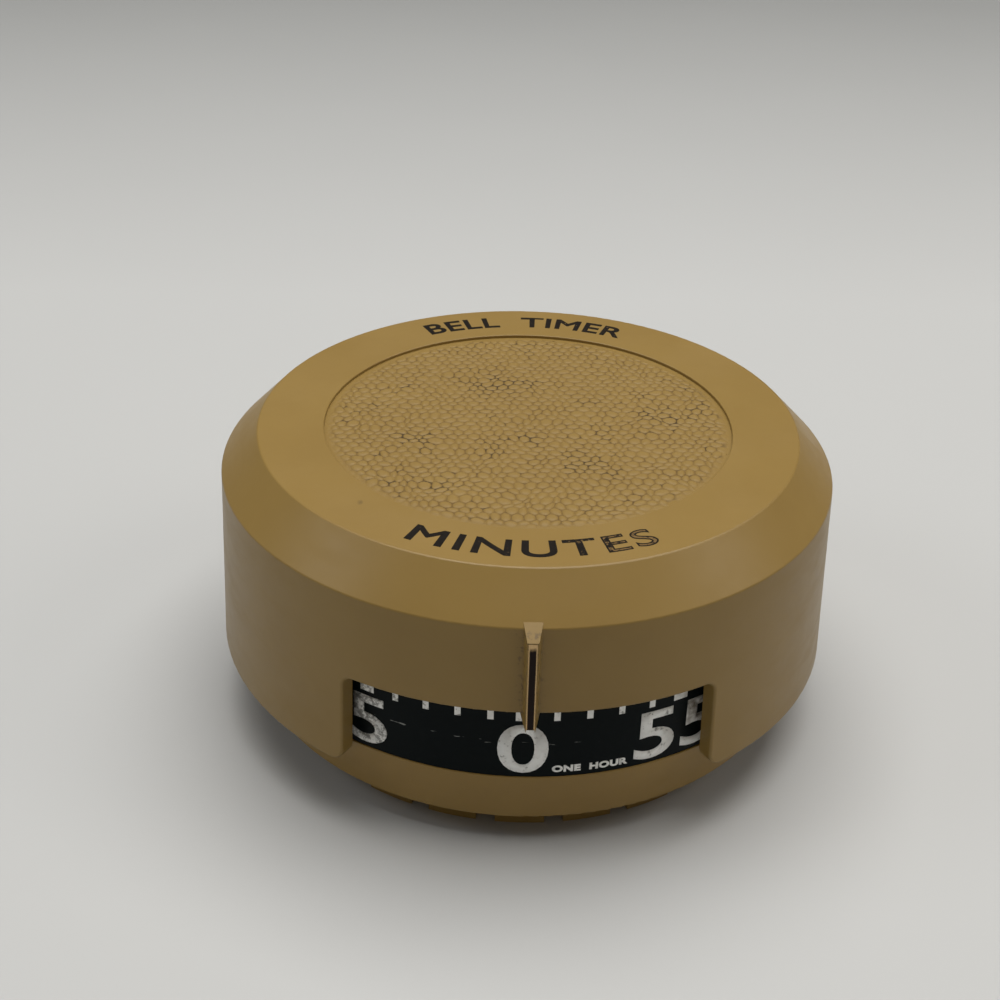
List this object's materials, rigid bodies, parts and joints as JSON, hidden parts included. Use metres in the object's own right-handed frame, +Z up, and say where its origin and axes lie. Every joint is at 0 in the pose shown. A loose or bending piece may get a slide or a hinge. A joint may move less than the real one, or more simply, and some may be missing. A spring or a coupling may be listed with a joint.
{
  "type": "mechanical kitchen timer",
  "caption": "Round clockwork kitchen timer: the whole cap turns over a numbered band, driving a sprung gear train and bell.",
  "frame": {"origin": "centre of the foot ring's underside, on the table", "axes": "+Z up along the cap's axis; the pointer at zero faces -Y"},
  "size_m": [0.088, 0.0891, 0.0426],
  "materials": {
    "cap": "satin gloss mustard-tan plastic",
    "stripe": "bright rolled strip",
    "spring_steel": "blued spring steel",
    "steel": "turned steel",
    "screw_steel": "zinc plated",
    "wheel_brass": "stamped brass",
    "plate_steel": "zinc plated sheet",
    "base": "satin gloss mustard-tan plastic",
    "band": "gloss black strip",
    "gong": "nickel plated steel",
    "hammer": "turned brass"
  },
  "bodies": {
    "case": {"base_housing": "base", "number_band": "band", "gong": "gong", "gong_screw": "screw_steel", "bottom_plate": "plate_steel", "top_plate": "plate_steel", "plate_pillars": "steel", "lower_pillar_screws": "screw_steel", "upper_pillar_screws": "screw_steel", "mounting_screws": "screw_steel", "spring_post": "steel", "mainspring": "spring_steel", "lever_stud": "steel", "lever_spring": "spring_steel", "leaf_stud": "steel", "stop_pin": "steel"},
    "dial": {"cap": "cap", "pointer_stripe": "stripe", "hub_clip": "spring_steel", "main_arbor": "steel", "ratchet_wheel": "steel", "release_cam": "wheel_brass", "stop_arm": "steel"},
    "drive": {"main_wheel": "wheel_brass", "main_wheel_studs": "steel", "click_spring": "spring_steel"},
    "click": {"click": "steel"},
    "second": {"second_arbor": "steel", "second_pinion": "steel", "second_wheel": "wheel_brass"},
    "third": {"third_arbor": "steel", "third_pinion": "steel", "third_wheel": "wheel_brass"},
    "escape": {"escape_arbor": "steel", "escape_pinion": "steel", "escape_wheel": "wheel_brass"},
    "verge": {"verge_arbor": "steel", "verge_lever": "wheel_brass", "verge_pins": "steel", "verge_weights": "wheel_brass"},
    "strike": {"strike_arbor": "steel", "strike_pinion": "steel", "star_wheel": "wheel_brass"},
    "hammer": {"hammer_arbor": "steel", "hammer_arm": "plate_steel", "hammer_pins": "steel", "hammer_rod": "steel", "hammer_head": "hammer", "hammer_finger": "plate_steel"},
    "release": {"release_lever": "plate_steel"}
  },
  "joints": [
    {"name": "cap_turn", "type": "hinge", "parent": "case", "child": "dial", "pos_m": [0, 0, 0], "axis": [0, 0, -1], "range_deg": [0, 354]},
    {"name": "main_wheel_turn", "type": "hinge", "parent": "case", "child": "drive", "pos_m": [0, 0, 0], "axis": [0, 0, -1], "range_deg": [0, 354]},
    {"name": "click_lift", "type": "hinge", "parent": "drive", "child": "click", "pos_m": [-0.0006, -0.00858, 0], "axis": [0, 0, 1], "range_deg": [-6, 0], "stiffness_Nm_per_rad": 0.0002},
    {"name": "second_turn", "type": "hinge", "parent": "case", "child": "second", "pos_m": [0, 0.0207, 0], "axis": [0, 0, -1], "range_deg": [-2832, 0]},
    {"name": "third_turn", "type": "hinge", "parent": "case", "child": "third", "pos_m": [0.01372, 0.01846, 0], "axis": [0, 0, -1], "range_deg": [0, 21240]},
    {"name": "escape_turn", "type": "hinge", "parent": "case", "child": "escape", "pos_m": [0.02349, 0.01007, 0], "axis": [0, 0, -1], "range_deg": [-169920, 0]},
    {"name": "verge_swing", "type": "hinge", "parent": "case", "child": "verge", "pos_m": [0.02748, 0.00251, 0], "axis": [0, 0, 1], "range_deg": [-6, 6]},
    {"name": "strike_turn", "type": "hinge", "parent": "case", "child": "strike", "pos_m": [-0.01409, 0.01818, 0], "axis": [0, 0, -1], "range_deg": [0, 16992]},
    {"name": "hammer_swing", "type": "hinge", "parent": "case", "child": "hammer", "pos_m": [-0.02239, 0.01614, 0], "axis": [0, 0, 1], "range_deg": [-5, 3.4]},
    {"name": "release_drop", "type": "hinge", "parent": "case", "child": "release", "pos_m": [-0.0145, -0.009, 0], "axis": [0, 0, -1], "range_deg": [0, 7.4]}
  ],
  "couplings": [
    {"joint": "main_wheel_turn", "follows": "cap_turn", "ratio": 1},
    {"joint": "second_turn", "follows": "cap_turn", "ratio": -8},
    {"joint": "third_turn", "follows": "cap_turn", "ratio": 60},
    {"joint": "escape_turn", "follows": "cap_turn", "ratio": -480},
    {"joint": "strike_turn", "follows": "cap_turn", "ratio": 48}
  ]
}
